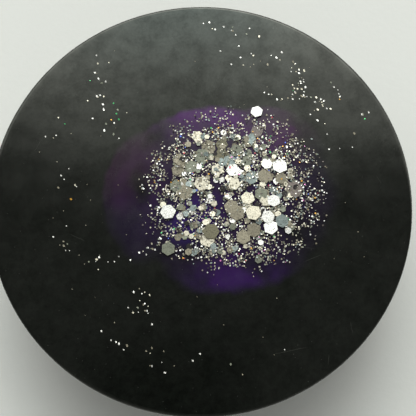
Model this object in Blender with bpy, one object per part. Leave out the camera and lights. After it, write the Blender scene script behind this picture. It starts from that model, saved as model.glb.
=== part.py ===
"""A round cast-resin pin badge, worn on two glue-on posts that take a butterfly clutch each.

The frame is in metres: +Z points out of the decorated face, +Y is up and +X is right as the badge is worn.
The origin is the centre of the resin disc's back face, which lies against the cloth.
At rest both clutches are pushed home: each post's tip ends just short of the dome of its clutch's cap.

The hardware is modelled in frames of its own, whose +Z points away from the badge, so that a height there
is a depth behind the badge. An empty at each post, and one at each clutch, turns those frames into place.
"""

import math

import bmesh
import bpy
from mathutils import Vector

MM = 0.001

# Resin disc: a flat round casting with softly rounded edges.
BADGE_DIAMETER = 50.0 * MM
BADGE_THICKNESS = 4.0 * MM
FACE_EDGE_RADIUS = 0.45 * MM
BACK_EDGE_RADIUS = 0.25 * MM
FLAT_BAND_WIDTH = 4.5 * MM  # outermost band of the face and of the back, where nothing else is
SEAT_DEPTH = 0.12 * MM  # round seats sanded into the back, one for each bed of epoxy to key into
SEAT_GAP = 0.05 * MM  # all round, between the epoxy and its seat

# Violet pour: an uneven oval pool, sunk flush into the face.
POUR_WIDTH = 28.2 * MM
POUR_HEIGHT = 23.0 * MM
POUR_CENTRE = (2.9 * MM, -0.1 * MM)
POUR_DEPTH = 1.2 * MM
POUR_GAP = 0.03 * MM  # all round, between the pour and the disc
POUR_LOBES = ((2, 0.035, 0.6), (3, 0.025, -1.1))  # waves in its outline: how many, how high, where

# Posts: needle posts brazed on round pads, each bedded in epoxy.
POST_SPACING = 24.0 * MM
POST_DIAMETER = 1.1 * MM
POST_LENGTH = 6.5 * MM  # from the pad's face to the tip
BRAZE_FILLET = 0.4 * MM
POST_TIP_LENGTH = 1.3 * MM
POST_TIP_DIAMETER = 0.14 * MM
GROOVE_DIAMETER = 0.84 * MM
GROOVE_WIDTH = 0.5 * MM
PAD_DIAMETER = 9.0 * MM
PAD_THICKNESS = 0.5 * MM
PAD_EDGE_BEVEL = 0.12 * MM
EPOXY_BED = 0.2 * MM  # between the back of the badge and the pad
EPOXY_COLLAR_HEIGHT = 0.42 * MM  # squeezed up round the pad's edge
EPOXY_COLLAR_WIDTH = 0.25 * MM
EPOXY_DIAMETER = 10.8 * MM
EPOXY_BEAD_STEPS = 4

# Clutch: heights are from the base washer's cloth side.
SHEET = 0.3 * MM  # base washer and cap
BASE_DIAMETER = 11.5 * MM
BASE_HOLE_DIAMETER = 1.5 * MM
PIP_HEIGHT = 0.35 * MM  # the pressed funnel that guides the tip into the hole
PIP_TOP_RADIUS = 1.05 * MM
PIP_FOOT_RADIUS = 2.1 * MM
PIP_BEND = 0.4 * MM
RIM_BEND = 0.2 * MM
RIM_OVERLAP = 0.4 * MM  # how far the rolled rim reaches in over the cap's flange
CAP_FLANGE_DIAMETER = 10.6 * MM
CAP_WALL_DIAMETER = 8.9 * MM  # at the flange
CAP_TOP_DIAMETER = 8.4 * MM  # where wall and top would meet without the shoulder
CAP_TOP_HEIGHT = 3.45 * MM  # middle of the sheet
FLANGE_BEND = 0.25 * MM
SHOULDER_BEND = 0.9 * MM
DOME_DIAMETER = 2.5 * MM
DOME_FOOT_DIAMETER = 3.2 * MM
DOME_HEIGHT = 4.5 * MM  # middle of the sheet
DOME_FOOT_BEND = 0.3 * MM
DOME_BEND = 0.7 * MM
TIP_CLEARANCE = 0.3 * MM  # between the post's tip and the dome, with the clutch pushed home
CRIMP_GAP = 0.05 * MM  # play between the cap's flange and the crimped rim that holds it

# Wings: one stamping is a jaw, a web that passes a slot in the cap, and a rolled finger grip.
WING_SHEET = 0.35 * MM
JAW_HEIGHT = 1.65 * MM
JAW_HALF_GAP = 0.25 * MM
JAW_NOTCH_RADIUS = 0.63 * MM
JAW_NOTCH_STEP = math.radians(26)
JAW_NOTCH_STEPS = 3  # on each side of the notch's middle
JAW_EDGE_WIDTH = 0.3 * MM  # flat land behind the notch
JAW_CORNER = 0.25 * MM
JAW_HALF_WIDTH = 2.3 * MM
WEB_OFFSET = 2.78 * MM  # from the post's axis to the middle of the web, where the wing tilts
WEB_BEND = 0.35 * MM
NECK_HALF_WIDTH = 1.45 * MM
NECK_TAPER = 0.6 * MM  # height over which the jaw narrows to the neck
GRIP_ROOT_HEIGHT = 0.5 * MM  # above the middle of the cap's top
GRIP_BEND = 0.6 * MM
GRIP_HALF_WIDTH = 3.1 * MM
GRIP_TAPER_START = 0.3 * MM  # above the middle of the cap's top
GRIP_TAPER = 1.3 * MM  # height over which the neck widens to the grip
GRIP_LEAN = math.radians(36)  # away from the post's axis
GRIP_LENGTH = 2.1 * MM
GRIP_FLAT_STEPS = 4
GRIP_ROLL_RADIUS = 0.55 * MM
GRIP_ROLL = math.radians(165)
GRIP_END_LENGTH = 1.1 * MM  # the last stretch, where the sides round in
GRIP_END_TAPER = 1.0 * MM
SLOT_CLEARANCE = 0.3 * MM
SLOT_CORNER = 0.285 * MM
SLOT_CUTTER_REACH = 0.75 * MM  # above and below the middle of the cap's top

# Spring: a split ring of wire round both webs, under the cap's shoulder.
SPRING_WIRE_DIAMETER = 0.36 * MM
SPRING_WIRE_SIDES = 6
SPRING_RING_RADIUS = 3.7 * MM
SPRING_HEIGHT = 2.7 * MM
SPRING_OPENING = math.radians(30)

CONTACT_GAP = 0.01 * MM  # between pieces that lie on each other
BEND_TOLERANCE = 0.032 * MM  # how far a bend's straight steps may leave its true arc
DISC_SEGMENTS = 72
ROUND_SEGMENTS = 36
POST_SEGMENTS = 18
MERGE_DISTANCE = 0.001 * MM
SMOOTH_ANGLE = math.radians(50)

# Depths behind the badge that follow from the sizes above.
PAD_BACK_DEPTH = EPOXY_BED + CONTACT_GAP
PAD_FACE_DEPTH = PAD_BACK_DEPTH + PAD_THICKNESS
TIP_DEPTH = PAD_FACE_DEPTH + CONTACT_GAP + POST_LENGTH
TIP_HEIGHT_IN_CLUTCH = DOME_HEIGHT - SHEET / 2 - TIP_CLEARANCE
CLUTCH_DEPTH = TIP_DEPTH - TIP_HEIGHT_IN_CLUTCH
GROOVE_DEPTH = CLUTCH_DEPTH + JAW_HEIGHT  # the jaws close round the groove when the clutch is home


# Points and paths


def arc(centre, radius, start, end, steps=None):
    """Points on an arc, both ends included; angles are counter-clockwise from the first axis."""
    if steps is None:
        widest_step = 2 * math.acos(1 - BEND_TOLERANCE / radius)
        steps = math.ceil(abs(end - start) / widest_step)
    points = []
    for step in range(steps + 1):
        angle = start + (end - start) * step / steps
        points.append(Vector(centre) + radius * Vector((math.cos(angle), math.sin(angle))))
    return points


def bent_path(start, bends, end):
    """An open path from start to end; each bend is a corner and the radius that rounds it."""
    corners = [Vector(start)] + [Vector(corner) for corner, radius in bends] + [Vector(end)]
    path = [corners[0]]
    for index, (_, radius) in enumerate(bends, start=1):
        corner = corners[index]
        back = (corners[index - 1] - corner).normalized()
        ahead = (corners[index + 1] - corner).normalized()
        half_angle = back.angle(ahead) / 2
        reach = radius / math.tan(half_angle)
        centre = corner + (back + ahead).normalized() * radius / math.sin(half_angle)
        first = corner + back * reach - centre
        last = corner + ahead * reach - centre
        start_angle = math.atan2(first.y, first.x)
        sweep = math.atan2(first.cross(last), first.dot(last))
        path += arc(centre, radius, start_angle, start_angle + sweep)
    path.append(corners[-1])
    return path


def offset_path(path, distance):
    """The path moved sideways, to the left of its own direction."""
    moved = []
    for index, point in enumerate(path):
        sides = []
        if index > 0:
            sides.append((point - path[index - 1]).normalized())
        if index < len(path) - 1:
            sides.append((path[index + 1] - point).normalized())
        along = sum(sides, Vector((0, 0))).normalized()
        left = Vector((-along.y, along.x))
        moved.append(point + left * distance / along.dot(sides[0]))
    return moved


def sheet_profile(path, thickness):
    """The closed outline of a sheet whose middle follows the path."""
    return offset_path(path, thickness / 2) + offset_path(path, -thickness / 2)[::-1]


# Objects


def principled(name, colour, roughness, metallic):
    material = bpy.data.materials.new(name)
    material.use_nodes = True
    shader = material.node_tree.nodes["Principled BSDF"]
    shader.inputs["Base Color"].default_value = (*colour, 1.0)
    shader.inputs["Roughness"].default_value = roughness
    shader.inputs["Metallic"].default_value = metallic
    material.diffuse_color = (*colour, 1.0)
    return material


def new_object(name, mesh, material, parent=None):
    body = bpy.data.objects.new(name, mesh)
    bpy.context.scene.collection.objects.link(body)
    body.parent = parent
    if material is not None and not mesh.materials:
        mesh.materials.append(material)
    return body


def mesh_from(name, shape):
    """Turn a bmesh into a smooth mesh with its faces pointing out."""
    bmesh.ops.recalc_face_normals(shape, faces=shape.faces)
    mesh = bpy.data.meshes.new(name)
    shape.to_mesh(mesh)
    shape.free()
    mesh.shade_smooth()
    mesh.set_sharp_from_angle(angle=SMOOTH_ANGLE)
    return mesh


def turned_mesh(name, profile, segments):
    """Spin a closed profile of (radius, height) points about Z."""
    shape = bmesh.new()
    points = [shape.verts.new((max(radius, 0.0), 0.0, height)) for radius, height in profile]
    for first, second in zip(points, points[1:] + points[:1]):
        if max(first.co.x, second.co.x) > MERGE_DISTANCE:
            shape.edges.new((first, second))
    bmesh.ops.spin(
        shape,
        geom=shape.verts[:] + shape.edges[:],
        cent=(0.0, 0.0, 0.0),
        axis=(0.0, 0.0, 1.0),
        angle=2 * math.pi,
        steps=segments,
    )
    bmesh.ops.remove_doubles(shape, verts=shape.verts, dist=MERGE_DISTANCE)
    return mesh_from(name, shape)


def lofted_mesh(name, rings):
    """Join rings of points, all equally long, into a closed body with a flat cap at either end."""
    shape = bmesh.new()
    loops = [[shape.verts.new(point) for point in ring] for ring in rings]
    for loop, following in zip(loops, loops[1:]):
        for index in range(len(loop)):
            beside = (index + 1) % len(loop)
            shape.faces.new((loop[index], loop[beside], following[beside], following[index]))
    shape.faces.new(loops[0])
    shape.faces.new(loops[-1])
    return mesh_from(name, shape)


def flat_ring(outline, height):
    return [(x, y, height) for x, y in outline]


def new_cutter(name, mesh, parent=None):
    """A solid that only cuts others and is no part of the badge."""
    cutter = new_object(name, mesh, None, parent)
    cutter.hide_render = True
    cutter.display_type = "WIRE"
    return cutter


def cut(body, cutter):
    modifier = body.modifiers.new("cut_" + cutter.name, "BOOLEAN")
    modifier.operation = "DIFFERENCE"
    modifier.solver = "EXACT"
    modifier.object = cutter


def new_frame(name, location, turn, parent=None):
    """An empty that carries other objects."""
    frame = bpy.data.objects.new(name, None)
    bpy.context.scene.collection.objects.link(frame)
    frame.location = location
    frame.rotation_euler = turn
    frame.parent = parent
    return frame


# The casting


def disc_outline(radius):
    """A circle with as many points as the pour's outline, so that the two can be joined."""
    return arc((0.0, 0.0), radius, 0.0, 2 * math.pi, DISC_SEGMENTS)[:-1]


def pour_outline(gap):
    """The pour's uneven oval, drawn in by gap all round."""
    points = []
    for index in range(DISC_SEGMENTS):
        angle = 2 * math.pi * index / DISC_SEGMENTS
        swell = 1 + sum(height * math.sin(count * angle + start) for count, height, start in POUR_LOBES)
        points.append((
            POUR_CENTRE[0] + (POUR_WIDTH / 2 * swell - gap) * math.cos(angle),
            POUR_CENTRE[1] + (POUR_HEIGHT / 2 * swell - gap) * math.sin(angle),
        ))
    return points


def resin_disc_mesh():
    """The disc from its flat back, round its edge and over its face down to the pool's floor."""
    radius = BADGE_DIAMETER / 2
    band = radius - FLAT_BAND_WIDTH
    back_edge = (radius - BACK_EDGE_RADIUS, BACK_EDGE_RADIUS)
    face_edge = (radius - FACE_EDGE_RADIUS, BADGE_THICKNESS - FACE_EDGE_RADIUS)
    profile = [(band, 0.0)]
    profile += arc(back_edge, BACK_EDGE_RADIUS, -math.pi / 2, 0.0)
    profile += arc(face_edge, FACE_EDGE_RADIUS, 0.0, math.pi / 2)
    profile.append((band, BADGE_THICKNESS))
    rings = [flat_ring(disc_outline(ring_radius), height) for ring_radius, height in profile]
    rings.append(flat_ring(pour_outline(0.0), BADGE_THICKNESS))
    rings.append(flat_ring(pour_outline(0.0), BADGE_THICKNESS - POUR_DEPTH))
    return lofted_mesh("resin_disc", rings)


def seat_cutter_mesh():
    outline = arc((0.0, 0.0), EPOXY_DIAMETER / 2 + SEAT_GAP, 0.0, 2 * math.pi, ROUND_SEGMENTS)[:-1]
    return lofted_mesh("epoxy_seat", [flat_ring(outline, -SEAT_DEPTH), flat_ring(outline, SEAT_DEPTH)])


def violet_pour_mesh():
    outline = pour_outline(POUR_GAP)
    bottom = BADGE_THICKNESS - POUR_DEPTH + POUR_GAP
    return lofted_mesh("violet_pour", [flat_ring(outline, bottom), flat_ring(outline, BADGE_THICKNESS)])


# Posts


def epoxy_mesh():
    """A bed between the seat and the pad, and the low collar that it squeezed up round the pad's edge."""
    pad_edge = PAD_DIAMETER / 2 + CONTACT_GAP
    lip = pad_edge + EPOXY_COLLAR_WIDTH
    bead_width = EPOXY_DIAMETER / 2 - lip
    bead_height = EPOXY_COLLAR_HEIGHT - CONTACT_GAP
    floor = CONTACT_GAP - SEAT_DEPTH
    profile = [(0.0, floor), (EPOXY_DIAMETER / 2, floor)]
    for step in range(EPOXY_BEAD_STEPS + 1):
        angle = math.pi / 2 * step / EPOXY_BEAD_STEPS
        profile.append((lip + bead_width * math.cos(angle), CONTACT_GAP + bead_height * math.sin(angle)))
    profile += [(pad_edge, EPOXY_COLLAR_HEIGHT), (pad_edge, EPOXY_BED), (0.0, EPOXY_BED)]
    return turned_mesh("post_epoxy", profile, ROUND_SEGMENTS)


def pad_mesh():
    radius = PAD_DIAMETER / 2
    profile = [
        (0.0, PAD_BACK_DEPTH),
        (radius, PAD_BACK_DEPTH),
        (radius, PAD_FACE_DEPTH - PAD_EDGE_BEVEL),
        (radius - PAD_EDGE_BEVEL, PAD_FACE_DEPTH),
        (0.0, PAD_FACE_DEPTH),
    ]
    return turned_mesh("post_pad", profile, ROUND_SEGMENTS)


def post_mesh():
    """A turned needle: brazed foot, shank, the groove that the jaws drop into, and a long point."""
    foot = PAD_FACE_DEPTH + CONTACT_GAP
    shank = POST_DIAMETER / 2
    flank = shank - GROOVE_DIAMETER / 2
    groove_start = GROOVE_DEPTH - GROOVE_WIDTH / 2
    groove_end = GROOVE_DEPTH + GROOVE_WIDTH / 2
    fillet_centre = (shank + BRAZE_FILLET, foot + BRAZE_FILLET)
    profile = [(0.0, foot)]
    profile += arc(fillet_centre, BRAZE_FILLET, -math.pi / 2, -math.pi)
    profile += [
        (shank, groove_start - flank),
        (GROOVE_DIAMETER / 2, groove_start),
        (GROOVE_DIAMETER / 2, groove_end),
        (shank, groove_end + flank),
        (shank, TIP_DEPTH - POST_TIP_LENGTH),
        (POST_TIP_DIAMETER / 2, TIP_DEPTH - POST_TIP_DIAMETER / 2),
        (0.0, TIP_DEPTH),
    ]
    return turned_mesh("post", profile, POST_SEGMENTS)


# Clutch


def clutch_base_mesh():
    """A washer with a funnelled hole; its rim stands up and is rolled in over the cap's flange."""
    rim = BASE_DIAMETER / 2 - SHEET / 2
    middle = SHEET / 2
    pip = middle + PIP_HEIGHT
    channel = SHEET + 2 * CRIMP_GAP
    rolled = middle + channel + SHEET
    path = bent_path(
        (BASE_HOLE_DIAMETER / 2, pip),
        [
            ((PIP_TOP_RADIUS, pip), PIP_BEND),
            ((PIP_FOOT_RADIUS, middle), PIP_BEND),
            ((rim, middle), RIM_BEND),
            ((rim, rolled), RIM_BEND),
        ],
        (CAP_FLANGE_DIAMETER / 2 - RIM_OVERLAP, rolled),
    )
    return turned_mesh("clutch_base", sheet_profile(path, SHEET), ROUND_SEGMENTS)


def clutch_cap_mesh():
    """A drawn cap: flange, wall, round shoulder, flat top and the dome that covers the post's tip."""
    flange = SHEET + CRIMP_GAP + SHEET / 2
    path = bent_path(
        (CAP_FLANGE_DIAMETER / 2, flange),
        [
            ((CAP_WALL_DIAMETER / 2, flange), FLANGE_BEND),
            ((CAP_TOP_DIAMETER / 2, CAP_TOP_HEIGHT), SHOULDER_BEND),
            ((DOME_FOOT_DIAMETER / 2, CAP_TOP_HEIGHT), DOME_FOOT_BEND),
            ((DOME_DIAMETER / 2, DOME_HEIGHT), DOME_BEND),
        ],
        (0.0, DOME_HEIGHT),
    )
    return turned_mesh("clutch_cap", sheet_profile(path, SHEET), ROUND_SEGMENTS)


def slot_cutter_mesh():
    """A prism with rounded corners, a little larger all round than the neck that passes the slot."""
    half_length = WING_SHEET / 2 + SLOT_CLEARANCE
    half_width = NECK_HALF_WIDTH + SLOT_CLEARANCE
    quarter_turn = math.pi / 2
    outline = []
    for quarter, (side_x, side_y) in enumerate([(1, 1), (-1, 1), (-1, -1), (1, -1)]):
        centre = (side_x * (half_length - SLOT_CORNER), side_y * (half_width - SLOT_CORNER))
        outline += arc(centre, SLOT_CORNER, quarter * quarter_turn, (quarter + 1) * quarter_turn)
    bottom = flat_ring(outline, CAP_TOP_HEIGHT - SLOT_CUTTER_REACH)
    top = flat_ring(outline, CAP_TOP_HEIGHT + SLOT_CUTTER_REACH)
    return lofted_mesh("wing_slot", [bottom, top])


def smooth_step(share):
    share = min(max(share, 0.0), 1.0)
    return share * share * (3 - 2 * share)


def wing_path():
    """The middle of the wing's sheet, from just behind the jaw's edge to the end of the rolled grip."""
    lean = Vector((math.sin(GRIP_LEAN), math.cos(GRIP_LEAN)))
    grip_root = Vector((WEB_OFFSET, CAP_TOP_HEIGHT + GRIP_ROOT_HEIGHT))
    grip_end = grip_root + lean * GRIP_LENGTH
    path = bent_path(
        (JAW_NOTCH_RADIUS + JAW_EDGE_WIDTH, JAW_HEIGHT),
        [((WEB_OFFSET, JAW_HEIGHT), WEB_BEND), (grip_root, GRIP_BEND)],
        grip_end,
    )
    flat_start = path[-2]
    shares = [step / GRIP_FLAT_STEPS for step in range(1, GRIP_FLAT_STEPS + 1)]
    path[-1:] = [flat_start.lerp(grip_end, share) for share in shares]
    roll_centre = grip_end + Vector((lean.y, -lean.x)) * GRIP_ROLL_RADIUS
    roll_start = math.pi - GRIP_LEAN
    return path + arc(roll_centre, GRIP_ROLL_RADIUS, roll_start, roll_start - GRIP_ROLL)[1:]


def wing_half_widths(path):
    """Half the wing's width at each point: wide jaw, narrow neck in the slot, wide grip, rounded end."""
    total = sum((after - before).length for before, after in zip(path, path[1:]))
    walked = 0.0
    half_widths = []
    for index, point in enumerate(path):
        if index > 0:
            walked += (point - path[index - 1]).length
        past_jaw = smooth_step((point.y - JAW_HEIGHT) / NECK_TAPER)
        half_width = JAW_HALF_WIDTH + (NECK_HALF_WIDTH - JAW_HALF_WIDTH) * past_jaw
        if past_jaw == 1.0:
            spread = smooth_step((point.y - CAP_TOP_HEIGHT - GRIP_TAPER_START) / GRIP_TAPER)
            half_width += (GRIP_HALF_WIDTH - NECK_HALF_WIDTH) * spread
        near_end = max(0.0, 1 - (total - walked) / GRIP_END_LENGTH)
        half_widths.append(half_width - GRIP_END_TAPER * near_end**2)
    return half_widths


def wing_mesh():
    """A stamped wing at +X of the post, as a bent sheet; its origin is on the axis that it tilts about."""
    notch_angles = [JAW_NOTCH_STEP * step for step in range(-JAW_NOTCH_STEPS, JAW_NOTCH_STEPS + 1)]
    notch_places = [math.sin(angle) * JAW_NOTCH_RADIUS for angle in notch_angles]
    shape = bmesh.new()
    jaw_edge = [(JAW_HALF_GAP, -JAW_HALF_WIDTH + JAW_CORNER)]
    jaw_edge += [(max(JAW_HALF_GAP, math.sqrt(JAW_NOTCH_RADIUS**2 - y**2)), y) for y in notch_places]
    jaw_edge += [(JAW_HALF_GAP, JAW_HALF_WIDTH - JAW_CORNER)]
    rows = [[Vector((x - WEB_OFFSET, y, JAW_HEIGHT - CAP_TOP_HEIGHT)) for x, y in jaw_edge]]
    shares = [-1.0] + [place / JAW_HALF_WIDTH for place in notch_places] + [1.0]
    path = wing_path()
    for point, half_width in zip(path, wing_half_widths(path)):
        x = point.x - WEB_OFFSET
        z = point.y - CAP_TOP_HEIGHT
        rows.append([Vector((x, share * half_width, z)) for share in shares])
    grid = [[shape.verts.new(place) for place in row] for row in rows]
    for row, following in zip(grid, grid[1:]):
        for column in range(len(shares) - 1):
            shape.faces.new((row[column], following[column], following[column + 1], row[column + 1]))
    return mesh_from("clutch_wing", shape)


def new_wing(name, mesh, material, clutch, turn):
    """Place a wing beside the post: turn is 0 for +X of the clutch's frame and half a turn for -X."""
    wing = new_object(name, mesh, material, clutch)
    wing.location = (WEB_OFFSET * math.cos(turn), 0.0, CAP_TOP_HEIGHT)
    wing.rotation_euler = (0.0, 0.0, turn)
    thickness = wing.modifiers.new("sheet", "SOLIDIFY")
    thickness.thickness = WING_SHEET
    thickness.offset = 0.0
    thickness.use_even_offset = True


def spring_mesh():
    """A ring of round wire with a gap in it, turned so that the gap is between the two wings."""
    wire_centre = (SPRING_RING_RADIUS, SPRING_HEIGHT)
    wire = arc(wire_centre, SPRING_WIRE_DIAMETER / 2, 0.0, 2 * math.pi, SPRING_WIRE_SIDES)[:-1]
    start = math.pi / 2 + SPRING_OPENING / 2
    sweep = 2 * math.pi - SPRING_OPENING
    rings = []
    for step in range(ROUND_SEGMENTS + 1):
        angle = start + sweep * step / ROUND_SEGMENTS
        rings.append([(radius * math.cos(angle), radius * math.sin(angle), z) for radius, z in wire])
    return lofted_mesh("clutch_spring", rings)


# Assembly


def remove_everything():
    for old in list(bpy.data.objects):
        bpy.data.objects.remove(old, do_unlink=True)


def main():
    remove_everything()
    black_resin = principled("black_resin", (0.012, 0.012, 0.011), 0.38, 0.0)
    violet_resin = principled("violet_resin", (0.075, 0.03, 0.16), 0.35, 0.0)
    epoxy = principled("epoxy", (0.62, 0.56, 0.42), 0.2, 0.0)
    plated_pad = principled("plated_pad", (0.66, 0.65, 0.62), 0.3, 1.0)
    post_steel = principled("post_steel", (0.6, 0.6, 0.6), 0.22, 1.0)
    plated_clutch = principled("plated_clutch", (0.72, 0.71, 0.68), 0.24, 1.0)
    plated_wing = principled("plated_wing", (0.7, 0.69, 0.66), 0.27, 1.0)
    spring_wire = principled("spring_wire", (0.45, 0.45, 0.46), 0.35, 1.0)

    disc = new_object("resin_disc", resin_disc_mesh(), black_resin)
    new_object("violet_pour", violet_pour_mesh(), violet_resin)

    seat_shape = seat_cutter_mesh()
    epoxy_shape = epoxy_mesh()
    pad_shape = pad_mesh()
    post_shape = post_mesh()
    base_shape = clutch_base_mesh()
    cap_shape = clutch_cap_mesh()
    slot_shape = slot_cutter_mesh()
    wing_shape = wing_mesh()
    spring_shape = spring_mesh()

    facing_back = (math.pi, 0.0, 0.0)
    wings_up_and_down = (0.0, 0.0, -math.pi / 2)
    for side, place in (("left", -POST_SPACING / 2), ("right", POST_SPACING / 2)):
        post_frame = new_frame(side + "_post_frame", (place, 0.0, 0.0), facing_back)
        cut(disc, new_cutter(side + "_seat", seat_shape, post_frame))
        new_object(side + "_post_epoxy", epoxy_shape, epoxy, post_frame)
        new_object(side + "_post_pad", pad_shape, plated_pad, post_frame)
        new_object(side + "_post", post_shape, post_steel, post_frame)

        at_rest = (0.0, 0.0, CLUTCH_DEPTH)
        clutch = new_frame(side + "_clutch_frame", at_rest, wings_up_and_down, post_frame)
        new_object(side + "_clutch_base", base_shape, plated_clutch, clutch)
        cap = new_object(side + "_clutch_cap", cap_shape, plated_clutch, clutch)
        for end, reach in (("upper", WEB_OFFSET), ("lower", -WEB_OFFSET)):
            slot = new_cutter(side + "_" + end + "_slot", slot_shape, clutch)
            slot.location = (reach, 0.0, 0.0)
            cut(cap, slot)
        new_wing(side + "_upper_wing", wing_shape, plated_wing, clutch, 0.0)
        new_wing(side + "_lower_wing", wing_shape, plated_wing, clutch, math.pi)
        new_object(side + "_clutch_spring", spring_shape, spring_wire, clutch)


main()
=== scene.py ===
"""The looks of the round glitter pin badge: cast resin, glitter, plated hardware, floor, light and camera.

Lengths are in metres; MM turns the sizes below, all in millimetres, into them. The frame is the CAD's: +Z
out of the decorated face, +Y up, the origin in the middle of the resin disc's back.
"""

import math
import random

import bmesh
import bpy
from mathutils import Matrix, Quaternion, Vector, noise


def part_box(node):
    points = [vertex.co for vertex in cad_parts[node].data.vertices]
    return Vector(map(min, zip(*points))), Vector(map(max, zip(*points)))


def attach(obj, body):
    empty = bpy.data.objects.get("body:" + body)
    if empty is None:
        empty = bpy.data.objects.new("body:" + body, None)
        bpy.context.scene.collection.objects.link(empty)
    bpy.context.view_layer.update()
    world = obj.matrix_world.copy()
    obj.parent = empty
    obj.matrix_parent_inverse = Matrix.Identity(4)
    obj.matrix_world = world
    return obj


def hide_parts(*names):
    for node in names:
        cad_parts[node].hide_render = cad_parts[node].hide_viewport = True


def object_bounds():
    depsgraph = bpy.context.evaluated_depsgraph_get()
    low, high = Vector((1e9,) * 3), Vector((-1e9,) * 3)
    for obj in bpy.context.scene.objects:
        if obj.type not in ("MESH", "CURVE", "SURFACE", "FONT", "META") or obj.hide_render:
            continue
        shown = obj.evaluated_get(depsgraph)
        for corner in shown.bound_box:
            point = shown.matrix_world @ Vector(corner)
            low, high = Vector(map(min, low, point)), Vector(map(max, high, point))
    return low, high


MM = 0.001
SEED = 7

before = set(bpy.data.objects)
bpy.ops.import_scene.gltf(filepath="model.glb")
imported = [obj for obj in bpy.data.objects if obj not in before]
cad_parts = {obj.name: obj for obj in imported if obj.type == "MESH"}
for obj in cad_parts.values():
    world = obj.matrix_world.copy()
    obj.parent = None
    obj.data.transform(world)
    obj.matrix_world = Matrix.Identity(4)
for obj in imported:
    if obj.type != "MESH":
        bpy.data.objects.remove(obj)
cad_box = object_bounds()

DISC_LOW, DISC_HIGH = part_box("resin_disc")
POUR_LOW, POUR_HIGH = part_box("violet_pour")
RADIUS = (DISC_HIGH.x - DISC_LOW.x) / 2
FACE = DISC_HIGH.z
BACK = DISC_LOW.z
FLOOR_HEIGHT = cad_box[0].z


# Node graphs


class Graph:
    """Short calls that add shader nodes; any input takes a number, a tuple or another node's output."""

    def __init__(self, tree):
        self.tree = tree

    def add(self, kind, inputs=None, **settings):
        node = self.tree.nodes.new("ShaderNode" + kind)
        for name, value in settings.items():
            setattr(node, name, value)
        for name, value in (inputs or {}).items():
            self.feed(node.inputs[name], value)
        return node

    def feed(self, socket, value):
        if isinstance(value, bpy.types.NodeSocket):
            self.tree.links.new(value, socket)
        elif socket.type == "RGBA":
            socket.default_value = (*value, 1.0)
        else:
            socket.default_value = value

    def math(self, operation, first, second=0.0):
        return self.add("Math", {0: first, 1: second}, operation=operation).outputs[0]

    def vector(self, operation, first, second=(0.0, 0.0, 0.0)):
        output = "Value" if operation == "LENGTH" else "Vector"
        return self.add("VectorMath", {0: first, 1: second}, operation=operation).outputs[output]

    def scaled(self, place, factor):
        return self.add("VectorMath", {0: place, "Scale": factor}, operation="SCALE").outputs["Vector"]

    def remap(self, value, low, high, to_low=0.0, to_high=1.0):
        """A smooth step from low to high; high may be the smaller of the two."""
        ends = {"Value": value, "From Min": low, "From Max": high, "To Min": to_low, "To Max": to_high}
        return self.add("MapRange", ends, interpolation_type="SMOOTHSTEP").outputs["Result"]

    def mix(self, share, first, second):
        return self.add("Mix", {0: share, 6: first, 7: second}, data_type="RGBA").outputs[2]

    def add_colour(self, share, first, second):
        return self.add("Mix", {0: share, 6: first, 7: second}, data_type="RGBA", blend_type="ADD").outputs[2]

    def noise(self, place, scale, detail=2.0, roughness=0.5):
        inputs = {"Vector": place, "Scale": scale, "Detail": detail, "Roughness": roughness}
        return self.add("TexNoise", inputs).outputs["Fac"]

    def wobble(self, place, scale, amount):
        """The place shifted about by noise, by up to half the amount each way."""
        cloud = self.add("TexNoise", {"Vector": place, "Scale": scale, "Detail": 2.0}).outputs["Color"]
        shift = self.scaled(self.vector("SUBTRACT", cloud, (0.5, 0.5, 0.5)), amount)
        return self.vector("ADD", place, shift)

    def spots(self, place, scale, size):
        """1 inside small round spots, one to each cell of the pattern, and 0 between them."""
        cells = self.add("TexVoronoi", {"Vector": place, "Scale": scale}).outputs["Distance"]
        return self.remap(cells, size, size * 0.6)

    def ramp(self, value, stops):
        node = self.add("ValToRGB", {"Fac": value})
        elements = node.color_ramp.elements
        while len(elements) < len(stops):
            elements.new(0.5)
        for element, (position, level) in zip(elements, stops):
            element.position = position
            element.color = (level, level, level, 1.0)
        return node.outputs["Color"]

    def bump(self, height, depth, normal=None):
        inputs = {"Height": height, "Strength": 1.0, "Distance": depth}
        if normal is not None:
            inputs["Normal"] = normal
        return self.add("Bump", inputs).outputs["Normal"]


class Material(Graph):
    """A Principled material whose patterns are laid out in millimetres of the row frame."""

    def __init__(self, name):
        self.material = bpy.data.materials.new(name)
        self.material.use_nodes = True
        super().__init__(self.material.node_tree)
        self.shader = self.tree.nodes["Principled BSDF"]
        place = self.add("TexCoord").outputs["Object"]
        self.place = self.scaled(place, 1 / MM)

    def finish(self, **inputs):
        for name, value in inputs.items():
            self.feed(self.shader.inputs[name.replace("_", " ").title().replace("Ior", "IOR")], value)
        return self.material


# Resin

BLACK = (0.0026, 0.0034, 0.0026)

# Clouds of colour in the pour, each x, y, half width, half height, colour; the colours add up.
VIOLET_CLOUDS = [
    (3.6, 0.6, 14.6, 13.4, (0.014, 0.002, 0.034)),
    (1.0, 12.2, 10.6, 6.6, (0.048, 0.002, 0.085)),
    (9.6, 9.0, 6.6, 7.0, (0.028, 0.001, 0.034)),
    (-9.0, 5.0, 7.0, 7.5, (0.018, 0.002, 0.020)),
    (-8.5, -2.0, 6.0, 8.0, (0.006, 0.002, 0.014)),
    (4.0, -11.4, 10.5, 6.8, (0.017, 0.001, 0.052)),
    (-0.8, -2.4, 4.6, 4.8, (0.006, 0.002, 0.054)),
]

# Where the colour ran out past the pour's oval, each x, y, half width, half height, strength.
VIOLET_LOBES = [
    (-5.0, 0.6, 6.7, 8.8, 0.75),
    (1.7, 4.2, 10.8, 7.4, 1.0),
    (8.2, 3.6, 7.8, 7.6, 0.6),
]


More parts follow.
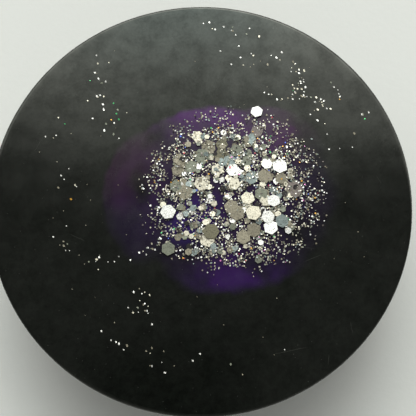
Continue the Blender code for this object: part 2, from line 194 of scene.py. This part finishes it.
def scratch_mask(material):
    """A few hairline marks: each x, y, direction in degrees, half length."""
    marks = [
        (9.0, -18.3, 8.0, 2.4),
        (13.2, -19.6, 80.0, 0.7),
        (16.2, -16.2, 100.0, 0.8),
        (11.6, -6.6, 170.0, 1.6),
        (21.3, 0.9, 112.0, 0.7),
        (-18.9, 8.2, 60.0, 1.6),
        (-14.6, -3.6, 150.0, 1.2),
        (12.6, -7.9, 15.0, 1.3),
    ]
    half_width = 0.035
    total = 0.0
    wavy = material.wobble(material.place, 0.5, 0.35)
    for x, y, direction, half_length in marks:
        turned = material.add("Mapping", {
            "Vector": wavy,
            "Location": (x, y, 0.0),
            "Rotation": (0.0, 0.0, math.radians(direction)),
        }, vector_type="TEXTURE").outputs["Vector"]
        axes = material.add("SeparateXYZ", {0: turned}).outputs
        along = material.remap(material.math("ABSOLUTE", axes[0]), half_length, half_length * 0.4)
        across = material.remap(material.math("ABSOLUTE", axes[1]), half_width, half_width * 0.3)
        total = material.math("ADD", total, material.math("MULTIPLY", along, across))
    return total


def oval_reach(material, place, x, y, half_width, half_height):
    """How far out a place is in an oval: 0 in the middle, 1 on the outline."""
    offset = material.vector("SUBTRACT", place, (x, y, 0.0))
    return material.vector("LENGTH", material.vector("DIVIDE", offset, (half_width, half_height, 1.0)))


def resin_colour(material):
    """Black, with clouds of violet inside the pour's outline, crisp only at its top, and inside its lobes."""
    flat_place = material.vector("MULTIPLY", material.place, (1.0, 1.0, 0.0))
    edge_place = material.wobble(flat_place, 0.45, 0.9)
    soft_place = material.wobble(flat_place, 0.16, 3.0)
    centre = (POUR_LOW + POUR_HIGH) / 2 / MM
    half = (POUR_HIGH - POUR_LOW) / 2 / MM
    pool = oval_reach(material, edge_place, centre.x, centre.y, half.x, half.y)
    upper = material.remap(material.add("SeparateXYZ", {0: material.place}).outputs[1], 2.0, 8.0)
    crisp = material.math("MULTIPLY", material.remap(pool, 1.02, 0.95), upper)
    inside = material.math("MAXIMUM", crisp, material.remap(pool, 1.03, 0.88))
    for x, y, half_width, half_height, strength in VIOLET_LOBES:
        lobe = oval_reach(material, edge_place, x, y, half_width, half_height)
        lobe = material.math("MULTIPLY", material.remap(lobe, 1.02, 0.92), strength)
        inside = material.math("MAXIMUM", inside, lobe)
    haze = material.noise(flat_place, 1.1, 5.0, 0.7)
    black = material.scaled(BLACK, material.remap(haze, 0.3, 0.75, 0.5, 1.6))
    colour = (0.0, 0.0, 0.0)
    for x, y, half_width, half_height, cloud in VIOLET_CLOUDS:
        share = material.remap(oval_reach(material, soft_place, x, y, half_width, half_height), 1.0, 0.3)
        colour = material.add_colour(share, colour, cloud)
    colour = material.add_colour(inside, black, colour)
    height = material.add("SeparateXYZ", {0: material.place}).outputs[2]
    deepest_colour = 1.6
    full_colour = 0.6
    on_face = material.remap(height, FACE / MM - deepest_colour, FACE / MM - full_colour)
    return material.mix(on_face, BLACK, colour)


def resin_material():
    """Black cast resin, violet where the pour is, with smudges, hairlines and dust on a satin gloss."""
    mark_colour = (0.30, 0.31, 0.28)
    mark_strength = 0.07
    duller_back = 0.18
    material = Material("cast_resin")
    colour = resin_colour(material)
    scratches = scratch_mask(material)
    smudges = material.noise(material.place, 0.22, 4.0, 0.6)
    dust = material.spots(material.place, 1.1, 0.075)
    height = material.add("SeparateXYZ", {0: material.place}).outputs[2]
    on_back = material.remap(height, 1.2, 0.2)
    marked = material.math("MAXIMUM", scratches, dust)
    colour = material.mix(material.math("MULTIPLY", marked, mark_strength), colour, mark_colour)
    face_roughness = material.remap(smudges, 0.25, 0.75, 0.11, 0.16)
    patches = material.remap(material.noise(material.place, 0.42, 5.0, 0.62), 0.32, 0.68, 0.40, 0.58)
    specks = material.remap(material.noise(material.place, 3.2, 4.0, 0.8), 0.3, 0.7, -0.06, 0.06)
    sheen = material.math("ADD", patches, specks)
    roughness = material.math("ADD", face_roughness, material.math("MULTIPLY", on_back, duller_back))
    swell = material.bump(material.noise(material.place, 0.07, 1.0), 0.010 * MM)
    ripple = material.bump(material.noise(material.place, 0.22, 2.0), 0.005 * MM, swell)
    grain = material.bump(material.noise(material.place, 3.0, 3.0), 0.0006 * MM, ripple)
    return material.finish(
        base_color=colour,
        roughness=roughness,
        normal=grain,
        ior=1.5,
        specular_ior_level=sheen,
        specular_tint=(0.96, 1.0, 0.92),
    )


def lathe(name, profile, segments, material):
    """A closed turned body from a profile of (radius, height) points that starts and ends on the axis."""
    vertices = []
    faces = []
    rings = []
    for radius, height in profile:
        if radius == 0.0:
            rings.append([len(vertices)] * segments)
            vertices.append((0.0, 0.0, height))
            continue
        rings.append(list(range(len(vertices), len(vertices) + segments)))
        for step in range(segments):
            angle = 2 * math.pi * step / segments
            vertices.append((radius * math.cos(angle), radius * math.sin(angle), height))
    for ring, following in zip(rings, rings[1:]):
        for step in range(segments):
            beside = (step + 1) % segments
            corners = [ring[step], ring[beside], following[beside], following[step]]
            faces.append(list(dict.fromkeys(corners)))
    mesh = bpy.data.meshes.new(name)
    mesh.from_pydata(vertices, [], faces)
    mesh.materials.append(material)
    mesh.shade_smooth()
    mesh.update()
    piece = bpy.data.objects.new(name, mesh)
    bpy.context.scene.collection.objects.link(piece)
    return piece


def quarter(centre_radius, centre_height, width, height, start, steps, power=2.0):
    """A rounded edge in profile, one quarter turn from start, in quarter turns; power 2 is a circle."""
    points = []
    for step in range(steps + 1):
        angle = math.pi / 2 * (start + step / steps)
        across = math.copysign(abs(math.cos(angle)) ** (2 / power), math.cos(angle))
        upward = math.copysign(abs(math.sin(angle)) ** (2 / power), math.sin(angle))
        points.append((centre_radius + width * across, centre_height + height * upward))
    return points


def make_cast_resin():
    """The disc with the pour cast into it, as one turned body with softly rounded edges."""
    back_edge = 0.25 * MM
    back_edge_steps = 6
    face_edge_width = 0.45 * MM
    face_edge_height = 0.35 * MM
    face_edge_steps = 14
    face_edge_fullness = 2.3
    ring_step = 0.5 * MM
    wall_steps = 6
    segments = 240
    profile = [(0.0, BACK)]
    flat = RADIUS - back_edge
    count = math.ceil(flat / ring_step)
    profile += [(flat * step / count, BACK) for step in range(1, count)]
    profile += quarter(flat, BACK + back_edge, back_edge, back_edge, -1, back_edge_steps)
    wall_low = BACK + back_edge
    wall_high = FACE - face_edge_height
    wall = wall_high - wall_low
    profile += [(RADIUS, wall_low + wall * step / wall_steps) for step in range(1, wall_steps)]
    flat = RADIUS - face_edge_width
    profile += quarter(
        flat, wall_high, face_edge_width, face_edge_height, 0, face_edge_steps, face_edge_fullness
    )
    count = math.ceil(flat / ring_step)
    profile += [(flat * (1 - step / count), FACE) for step in range(1, count)]
    profile.append((0.0, FACE))
    piece = lathe("cast_resin", profile, segments, resin_material())
    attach(piece, "badge")
    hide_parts("resin_disc", "violet_pour")


# Glitter

# Each tone: colour, metallic, roughness, and how far its flakes lean towards the window, in degrees.
# The colours are partly the glitter's own tints and partly painted light: the brightest tones, as the white
# and cream ones, carry a painted glint of the window, and the darkest, near-black tone is painted shade.
TONES = {
    "white": ((0.90, 0.90, 0.86), 0.35, 0.30, 4.0),
    "cream": ((0.76, 0.72, 0.58), 0.30, 0.35, 3.0),
    "tan": ((0.29, 0.265, 0.195), 0.25, 0.40, 0.0),
    "sage": ((0.24, 0.26, 0.20), 0.25, 0.40, 0.0),
    "mist": ((0.28, 0.34, 0.33), 0.30, 0.35, 0.0),
    "mauve": ((0.21, 0.18, 0.165), 0.25, 0.40, -1.0),
    "olive": ((0.165, 0.155, 0.10), 0.25, 0.45, -1.0),
    "ember": ((0.012, 0.009, 0.010), 0.10, 0.60, -3.0),
    "green_spark": ((0.10, 0.62, 0.22), 0.30, 0.25, 3.0),
    "red_spark": ((0.62, 0.05, 0.10), 0.30, 0.25, 3.0),
    "orange_spark": ((0.80, 0.42, 0.06), 0.30, 0.25, 3.0),
    "blue_spark": ((0.12, 0.20, 0.80), 0.30, 0.25, 3.0),
    "pink_spark": ((0.80, 0.28, 0.62), 0.30, 0.25, 3.0),
}

# The big hex flakes, in the order that they fell: tone, x, y, width across flats.
BIG_FLAKES = [
    ("cream", 0.5, -4.8, 1.7),
    ("olive", 2.9, 5.2, 1.6),
    ("tan", 1.4, 6.4, 1.6),
    ("olive", 3.0, 6.6, 1.3),
    ("tan", -2.2, 5.0, 1.4),
    ("tan", -2.4, 3.8, 1.4),
    ("sage", 0.5, 5.3, 1.7),
    ("sage", -0.8, 4.1, 1.4),
    ("cream", 0.2, 7.8, 1.3),
    ("tan", 6.3, 6.8, 1.4),
    ("mauve", 7.3, 7.9, 1.3),
    ("sage", 4.7, 5.7, 1.4),
    ("mist", 3.8, 4.4, 1.5),
    ("sage", 5.7, 4.3, 1.3),
    ("cream", 2.3, 3.5, 1.3),
    ("white", 4.1, 3.3, 1.45),
    ("cream", 0.3, 1.9, 1.6),
    ("cream", 4.1, 1.6, 1.4),
    ("sage", -2.8, 1.8, 1.3),
    ("tan", -1.8, 1.0, 1.7),
    ("tan", 7.8, 2.3, 1.5),
    ("mist", 6.2, 2.2, 1.4),
    ("white", 8.2, 3.8, 1.2),
    ("white", 9.7, 3.4, 1.6),
    ("tan", 9.7, 1.9, 1.3),
    ("mauve", 11.1, 0.4, 1.8),
    ("sage", 7.2, 0.1, 1.4),
    ("cream", 5.6, -0.3, 1.4),
    ("cream", 7.7, -0.7, 1.3),
    ("white", 8.6, -0.8, 1.35),
    ("tan", 3.6, -1.2, 1.5),
    ("tan", 4.2, -2.0, 1.6),
    ("cream", 6.1, -2.1, 1.6),
    ("white", 7.8, -2.7, 1.4),
    ("mist", 9.4, -3.3, 1.4),
    ("white", 8.0, -4.0, 1.5),
    ("tan", 4.7, -4.9, 1.5),
    ("tan", 6.0, -4.2, 1.5),
    ("sage", -4.1, -5.7, 1.4),
    ("white", -3.9, -1.3, 1.6),
    ("white", 7.5, 10.4, 1.3),
    ("olive", 1.0, -4.0, 1.7),
]

# Thin trails of fine glitter outside the pool: a path of x, y points, how many flakes and how far they stray.
TRAILS = [
    ([(0.8, 23.2), (5.0, 21.6), (9.4, 20.2)], 13, 0.5),
    ([(4.0, 18.6), (8.0, 17.2), (11.6, 17.8)], 14, 0.8),
    ([(12.6, 16.6), (13.4, 14.4), (13.0, 12.6)], 24, 0.5),
    ([(12.4, 13.2), (14.0, 11.8), (16.2, 10.4)], 16, 0.35),
    ([(9.0, 12.6), (11.0, 12.2), (13.0, 12.4)], 16, 0.5),
    ([(14.0, 11.0), (15.2, 8.6), (16.6, 6.8)], 7, 0.7),
    ([(16.6, 13.6), (17.4, 12.2), (18.0, 11.8)], 7, 0.3),
    ([(20.2, 9.8), (20.8, 9.0)], 4, 0.25),
    ([(-12.4, 19.0), (-11.0, 15.0), (-11.2, 9.6)], 22, 0.8),
    ([(-9.6, 12.6), (-8.8, 9.0)], 7, 0.8),
    ([(-17.4, 11.4), (-16.0, 6.0), (-15.0, 2.0)], 13, 0.9),
    ([(-17.0, -2.8), (-15.2, -5.4), (-12.0, -6.8), (-10.0, -6.8)], 18, 0.5),
    ([(-9.6, -8.4), (-8.0, -11.0), (-6.6, -13.6)], 18, 0.7),
    ([(-12.0, -14.4), (-10.8, -16.6), (-6.0, -18.0), (-4.6, -19.6)], 14, 0.7),
    ([(-8.2, -6.6), (-5.6, -5.4)], 10, 0.6),
    ([(13.6, 5.0), (19.0, 5.4)], 4, 0.9),
    ([(-3.6, -19.0), (2.0, -19.6), (8.0, -18.4)], 5, 0.8),
]


FLAKE_SIDES = 6
COARSE_WIDTH = 0.4  # flakes wider than this are cut from the thicker film
COARSE_FILM = 0.035
FINE_FILM = 0.02


class Flakes:
    """Collects hex plates by tone, and makes one piece of each tone. Sizes here are in millimetres."""

    def __init__(self, chance):
        self.chance = chance
        self.tones = {name: ([], []) for name in TONES}

    def add(self, tone, x, y, width, lift, spread, stretch=1.0):
        """One plate whose lowest corner is lift above the face; spread is how freely it leans, in degrees."""
        chance = self.chance
        vertices, faces = self.tones[tone]
        thickness = COARSE_FILM if width > COARSE_WIDTH else FINE_FILM
        lean = math.radians(chance.gauss(TONES[tone][3], spread))
        side = math.radians(chance.gauss(0.0, spread))
        corner_angle = 2 * math.pi / FLAKE_SIDES
        turn = chance.uniform(0.0, corner_angle)
        plate = Matrix.Rotation(-lean, 3, "X") @ Matrix.Rotation(side, 3, "Y") @ Matrix.Rotation(turn, 3, "Z")
        corners = []
        for height in (0.0, thickness):
            for step in range(FLAKE_SIDES):
                angle = corner_angle * step
                reach = width / math.sqrt(3) * chance.uniform(0.94, 1.06)
                corner = Vector((reach * math.cos(angle), reach * math.sin(angle) * stretch, height))
                corners.append(plate @ corner)
        base = lift - min(corner.z for corner in corners)
        first = len(vertices)
        centre = Vector((x, y, FACE / MM + base))
        vertices += [(centre + corner) * MM for corner in corners]
        top = first + FLAKE_SIDES
        faces.append([first + step for step in reversed(range(FLAKE_SIDES))])
        faces.append([top + step for step in range(FLAKE_SIDES)])
        for step in range(FLAKE_SIDES):
            beside = (step + 1) % FLAKE_SIDES
            faces.append([first + step, first + beside, top + beside, top + step])

    def make_pieces(self):
        for tone, (vertices, faces) in self.tones.items():
            mesh = bpy.data.meshes.new("glitter_" + tone)
            mesh.from_pydata(vertices, [], faces)
            mesh.materials.append(glitter_material(tone))
            mesh.update()
            piece = bpy.data.objects.new("glitter_" + tone, mesh)
            bpy.context.scene.collection.objects.link(piece)
            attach(piece, "badge")


def glitter_material(tone):
    """Metallised film: each flake a little different, mottled, with pinholes where the coat is gone."""
    colour, metallic, roughness, _ = TONES[tone]
    material = Material("glitter_" + tone)
    own = material.add("NewGeometry").outputs["Random Per Island"]
    mottle = material.remap(material.noise(material.place, 6.0, 5.0, 0.8), 0.35, 0.65, 0.6, 1.2)
    level = material.math("MULTIPLY", mottle, material.remap(own, 0.0, 1.0, 0.82, 1.12))
    # the tone's colour is partly painted light: a painted glint of the window on the bright tones, painted
    # shade on the darkest
    body = material.scaled(colour, level)
    pinholes = material.spots(material.place, 2.6, 0.19)
    body = material.mix(material.math("MULTIPLY", pinholes, 0.9), body, (0.02, 0.016, 0.014))
    wear = material.noise(material.place, 8.0, 2.0)
    rough = material.remap(wear, 0.3, 0.7, roughness - 0.08, roughness + 0.1)
    crinkle = material.bump(material.noise(material.place, 2.4, 3.0), 0.006 * MM)
    return material.finish(base_color=body, metallic=metallic, roughness=rough, normal=crinkle)


def pick_tone(chance, weights):
    names = list(weights)
    return chance.choices(names, [weights[name] for name in names])[0]


def along_path(points, share):
    """The point at a share of the way along a path of straight stretches."""
    place = share * (len(points) - 1)
    index = min(int(place), len(points) - 2)
    return Vector(points[index]).lerp(Vector(points[index + 1]), place - index)


def smooth_step(value, low, high):
    share = min(max((value - low) / (high - low), 0.0), 1.0)
    return share * share * (3 - 2 * share)


def scatter(chance, count, centre, half, dense, sparse, clumping):
    """Points in a squarish oval: thick on the ground up to the reach dense, none past sparse, in clumps."""
    squareness = 2.2
    points = []
    while len(points) < count:
        reach_x = chance.uniform(-sparse, sparse)
        reach_y = chance.uniform(-sparse, sparse)
        x = centre[0] + half[0] * reach_x
        y = centre[1] + half[1] * reach_y
        reach = (abs(reach_x) ** squareness + abs(reach_y) ** squareness) ** (1 / squareness)
        keep = 1 - smooth_step(reach, dense, sparse)
        clump = noise.noise(Vector((x, y, 0.0)) * 0.7)
        if chance.random() < keep * (1 + clumping * (clump - 0.2)):
            points.append((x, y))
    return points


def make_glitter():
    """The big flakes where they lie in the photo, then the medium, fine and stray ones by chance."""
    chance = random.Random(SEED)
    flakes = Flakes(chance)
    medium_tones = {"white": 3, "cream": 6, "tan": 7, "sage": 6, "mist": 4, "ember": 3}
    fine_tones = {
        "white": 14, "cream": 18, "tan": 26, "sage": 16, "mist": 8, "mauve": 10, "ember": 8,
        "green_spark": 0.5, "red_spark": 0.5, "orange_spark": 0.7, "blue_spark": 0.4, "pink_spark": 0.4,
    }
    trail_tones = {"white": 60, "cream": 24, "tan": 22, "sage": 10, "green_spark": 3, "orange_spark": 2}
    medium_count = 210
    fine_count = 5500
    stray_count = 46
    first_lift = 0.01
    lift_step = 0.006  # each big flake lies a little higher than the one before

    for order, (tone, x, y, width) in enumerate(BIG_FLAKES):
        flakes.add(tone, x, y, width, first_lift + lift_step * order, spread=0.8)
    for x, y in scatter(chance, medium_count, (3.5, 0.2), (7.8, 7.2), dense=0.85, sparse=1.15, clumping=0.6):
        tone = pick_tone(chance, medium_tones)
        flakes.add(tone, x, y, chance.uniform(0.5, 0.74), chance.uniform(0.0, 0.16), spread=3.0)
    for x, y in scatter(chance, fine_count, (4.0, 0.9), (9.4, 8.6), dense=0.74, sparse=1.27, clumping=1.5):
        tone = pick_tone(chance, fine_tones)
        flakes.add(tone, x, y, chance.uniform(0.09, 0.21), chance.choice((0.0, 0.05, 0.2)), spread=8.0)
    for path, count, stray in TRAILS:
        for _ in range(count):
            place = along_path(path, chance.random())
            tone = pick_tone(chance, trail_tones)
            x = place.x + chance.gauss(0.0, stray)
            y = place.y + chance.gauss(0.0, stray)
            width = chance.uniform(0.09, 0.21)
            flakes.add(tone, x, y, width, lift=0.0, spread=5.0, stretch=chance.uniform(1.0, 1.6))
    whole_face = (21.5, 21.5)
    for x, y in scatter(chance, stray_count, (0.0, 0.0), whole_face, 0.98, 1.0, clumping=0.0):
        flakes.add("tan", x, y, chance.uniform(0.07, 0.12), lift=0.0, spread=7.0)
    flakes.make_pieces()


# Hardware


def metal_material(name, colour, roughness, wear):
    """Bright plating with fine stamping marks, faint tarnish, and brass where it has rubbed through."""
    brass = (0.62, 0.45, 0.20)
    tarnish_strength = 0.22
    material = Material(name)
    cloud = material.noise(material.place, 0.6, 3.0, 0.5)
    tarnish = material.remap(cloud, 0.45, 0.75)
    rubbed = material.remap(material.noise(material.place, 3.4, 5.0, 0.6), 0.68, 0.78)
    dulled = tuple(0.6 * part for part in colour)
    body = material.mix(material.math("MULTIPLY", tarnish, tarnish_strength), colour, dulled)
    body = material.mix(material.math("MULTIPLY", rubbed, wear), body, brass)
    rough = material.remap(cloud, 0.3, 0.7, roughness - 0.03, roughness + 0.07)
    marks = material.noise(material.vector("MULTIPLY", material.place, (3.0, 3.0, 26.0)), 1.0, 3.0)
    normal = material.bump(marks, 0.0012 * MM)
    return material.finish(base_color=body, metallic=1.0, roughness=rough, normal=normal)


def epoxy_material():
    """Clear glue gone faintly yellow, with air bubbles under a wet-looking skin."""
    material = Material("epoxy_glue")
    cloud = material.noise(material.place, 1.1, 3.0)
    bubbles = material.spots(material.place, 2.2, 0.22)
    body = material.mix(material.remap(cloud, 0.3, 0.7), (0.52, 0.45, 0.29), (0.66, 0.61, 0.46))
    body = material.mix(material.math("MULTIPLY", bubbles, 0.5), body, (0.85, 0.83, 0.74))
    skin = material.bump(material.noise(material.place, 1.4, 2.0), 0.03 * MM)
    pits = material.bump(bubbles, 0.02 * MM, skin)
    return material.finish(
        base_color=body, roughness=material.remap(cloud, 0.3, 0.7, 0.08, 0.2), normal=pits, coat_weight=0.6
    )


def soften(shape, edge_width):
    """Rounds the sharp edges of a CAD shape a little, and shades its turned faces as smooth ones."""
    sharp_from = math.radians(30.0)
    shape_edit = bmesh.new()
    shape_edit.from_mesh(shape)
    bmesh.ops.remove_doubles(shape_edit, verts=shape_edit.verts, dist=0.001 * MM)
    bmesh.ops.dissolve_limit(
        shape_edit, angle_limit=math.radians(0.5), verts=shape_edit.verts, edges=shape_edit.edges
    )
    sharp = [edge for edge in shape_edit.edges if edge.calc_face_angle(0.0) > sharp_from]
    bmesh.ops.bevel(
        shape_edit, geom=sharp, offset=edge_width, segments=2, profile=0.5, affect="EDGES", clamp_overlap=True
    )
    shape_edit.to_mesh(shape)
    shape_edit.free()
    shape.shade_smooth()
    shape.set_sharp_from_angle(angle=sharp_from)


def make_hardware():
    """Every piece of hardware again, with softened edges, in place of its CAD node."""
    plated = metal_material("nickel_plate", (0.74, 0.73, 0.70), 0.2, 0.35)
    wing = metal_material("nickel_wing", (0.72, 0.71, 0.67), 0.24, 0.5)
    pad = metal_material("nickel_pad", (0.68, 0.67, 0.64), 0.3, 0.15)
    steel = metal_material("post_steel", (0.60, 0.60, 0.61), 0.2, 0.0)
    wire = metal_material("spring_wire", (0.45, 0.45, 0.47), 0.3, 0.0)
    finishes = {
        "post_epoxy": (epoxy_material(), "badge", "epoxy"),
        "post_pad": (pad, "badge", "plated_pad"),
        "post": (steel, "badge", "post_steel"),
        "clutch_base": (plated, "clutch", "plated_clutch"),
        "clutch_cap": (plated, "clutch_shell", "plated_clutch"),
        "clutch_spring": (wire, "clutch_shell", "spring_wire"),
        "upper_wing": (wing, "upper_jaw", "plated_wing"),
        "lower_wing": (wing, "lower_jaw", "plated_wing"),
    }
    for side in ("left_", "right_"):
        for part, (material, body, slot) in finishes.items():
            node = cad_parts[side + part]
            shape = node.data.copy()
            soften(shape, 0.04 * MM)
            shape.materials.clear()
            shape.materials.append(material)
            piece = bpy.data.objects.new(side + part + "_finished", shape)
            bpy.context.scene.collection.objects.link(piece)
            piece.modifiers.new("even_shading", "WEIGHTED_NORMAL").keep_sharp = True
            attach(piece, body if body == "badge" else side + body)
            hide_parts(side + part)


# Stage


def make_floor():
    """A plain pale card, seen only from above, so that the badge can be looked at from below as well."""
    reach = 1.5
    mesh = bpy.data.meshes.new("floor")
    corners = [(-reach, -reach), (reach, -reach), (reach, reach), (-reach, reach)]
    mesh.from_pydata([(x, y, FLOOR_HEIGHT) for x, y in corners], [], [(0, 1, 2, 3)])
    material = Material("pale_card")
    fibres = material.noise(material.place, 1.2, 5.0, 0.7)
    shade = material.mix(fibres, (0.69, 0.71, 0.69), (0.72, 0.74, 0.72))
    material.finish(base_color=shade, roughness=0.7, normal=material.bump(fibres, 0.02 * MM))
    behind = material.add("NewGeometry").outputs["Backfacing"]
    clear = material.add("BsdfTransparent").outputs[0]
    both = material.add("MixShader", {0: behind, 1: material.shader.outputs[0], 2: clear})
    material.feed(material.tree.nodes["Material Output"].inputs["Surface"], both.outputs[0])
    mesh.materials.append(material.material)
    floor = bpy.data.objects.new("floor", mesh)
    bpy.context.scene.collection.objects.link(floor)


def window_glow(graph, slope_x, slope_y):
    """How bright the window is in a direction: it is what the satin face mirrors, and it lights the floor."""
    window_strength = 4.0
    height_of_ramp = 2.0
    brightness_by_height = [
        (0.150, 0.19),
        (0.165, 0.23),
        (0.200, 0.31),
        (0.215, 0.50),
        (0.260, 0.78),
        (0.300, 0.85),
        (0.700, 1.00),
        (1.000, 0.30),
    ]
    sill = graph.remap(slope_x, -0.15, -0.22, 0.304, 0.368)
    above_sill = graph.remap(graph.math("SUBTRACT", slope_y, sill), 0.0, 0.022)
    level = graph.ramp(graph.math("DIVIDE", slope_y, height_of_ramp), brightness_by_height)
    glow = graph.math("MULTIPLY", above_sill, level)

    from_fold = graph.math("ABSOLUTE", graph.math("ADD", slope_x, 0.01))
    brighter_to_the_right = graph.remap(slope_x, -0.30, 0.30, 0.84, 1.28)
    fold_in_the_curtain = graph.remap(from_fold, 0.0, 0.07, 0.80, 1.0)
    right_end = graph.remap(slope_x, 0.34, 0.7, 1.0, 0.30)
    left_end = graph.remap(slope_x, -0.34, -0.9, 1.0, 0.35)
    open_top = graph.remap(slope_y, 0.62, 0.9, 1.0, 1.55)
    for factor in (brighter_to_the_right, fold_in_the_curtain, right_end, left_end, open_top):
        glow = graph.math("MULTIPLY", glow, factor)
    return graph.math("MULTIPLY", glow, window_strength)


def room_glow(graph, slope_x, slope_y):
    """How bright the rest of the room is, with the camera as a dark block straight above the badge."""
    room = graph.remap(slope_y, -0.6, -1.6, 0.20, 0.45)
    across = graph.remap(graph.math("ABSOLUTE", graph.math("ADD", slope_x, 0.055)), 0.115, 0.095)
    along = graph.remap(graph.math("ABSOLUTE", graph.math("ADD", slope_y, 0.06)), 0.155, 0.145)
    camera_shade = graph.math("MULTIPLY", graph.math("MULTIPLY", across, along), 0.75)
    return graph.math("MULTIPLY", room, graph.math("SUBTRACT", 1.0, camera_shade))


def light_colour(graph, slope_x, slope_y):
    """Faintly warm light, with a cooler patch high in the middle of the window."""
    patch = graph.math("MULTIPLY", graph.remap(slope_y, 0.42, 0.50), graph.remap(slope_y, 0.9, 0.7))
    patch = graph.math("MULTIPLY", patch, graph.remap(graph.math("ABSOLUTE", slope_x), 0.22, 0.04))
    return graph.mix(patch, (1.0, 1.0, 0.955), (0.93, 1.04, 1.02))


def make_light():
    """A room with one big soft window beyond the badge's top edge; the camera itself sees a plain backdrop.

    Directions are given as slopes: how far a direction goes along X or Y for each step up.
    """
    backdrop = 0.76
    lowest_upward = 0.03  # keeps the slopes finite at and below the horizon
    world = bpy.data.worlds.new("room")
    world.use_nodes = True
    bpy.context.scene.world = world
    graph = Graph(world.node_tree)
    axes = graph.add("SeparateXYZ", {0: graph.add("TexCoord").outputs["Generated"]}).outputs
    upward = graph.math("MAXIMUM", axes[2], lowest_upward)
    slope_x = graph.math("DIVIDE", axes[0], upward)
    slope_y = graph.math("DIVIDE", axes[1], upward)

    glow = graph.math("ADD", window_glow(graph, slope_x, slope_y), room_glow(graph, slope_x, slope_y))
    seen = graph.add("LightPath").outputs["Is Camera Ray"]
    unseen_glow = graph.math("MULTIPLY", glow, graph.math("SUBTRACT", 1.0, seen))
    strength = graph.math("ADD", unseen_glow, graph.math("MULTIPLY", seen, backdrop))
    background = world.node_tree.nodes["Background"]
    graph.feed(background.inputs["Color"], light_colour(graph, slope_x, slope_y))
    graph.feed(background.inputs["Strength"], strength)


def make_camera():
    """The camera stands close above the badge and a little towards its lower edge, turned slightly."""
    distance = 100.0 * MM
    tilt = math.radians(14.53)
    roll = math.radians(-3.83)
    aim = Vector((0.84 * MM, -1.1 * MM, FACE))
    camera = bpy.data.cameras.new("camera")
    camera.lens = 73.3
    camera.sensor_width = 36.0
    camera.clip_start = 0.01
    holder = bpy.data.objects.new("camera", camera)
    bpy.context.scene.collection.objects.link(holder)
    holder.location = Vector((0.0, -distance * math.sin(tilt), FACE + distance * math.cos(tilt)))
    holder.rotation_mode = "QUATERNION"
    facing = Quaternion((1.0, 0.0, 0.0), tilt) @ Quaternion((0.0, 0.0, 1.0), roll)
    looking = facing @ Vector((0.0, 0.0, -1.0))
    holder.rotation_quaternion = looking.rotation_difference(aim - holder.location) @ facing
    bpy.context.scene.camera = holder
    bpy.context.scene.view_settings.view_transform = "Standard"


make_cast_resin()
make_glitter()
make_hardware()
make_floor()
make_light()
make_camera()
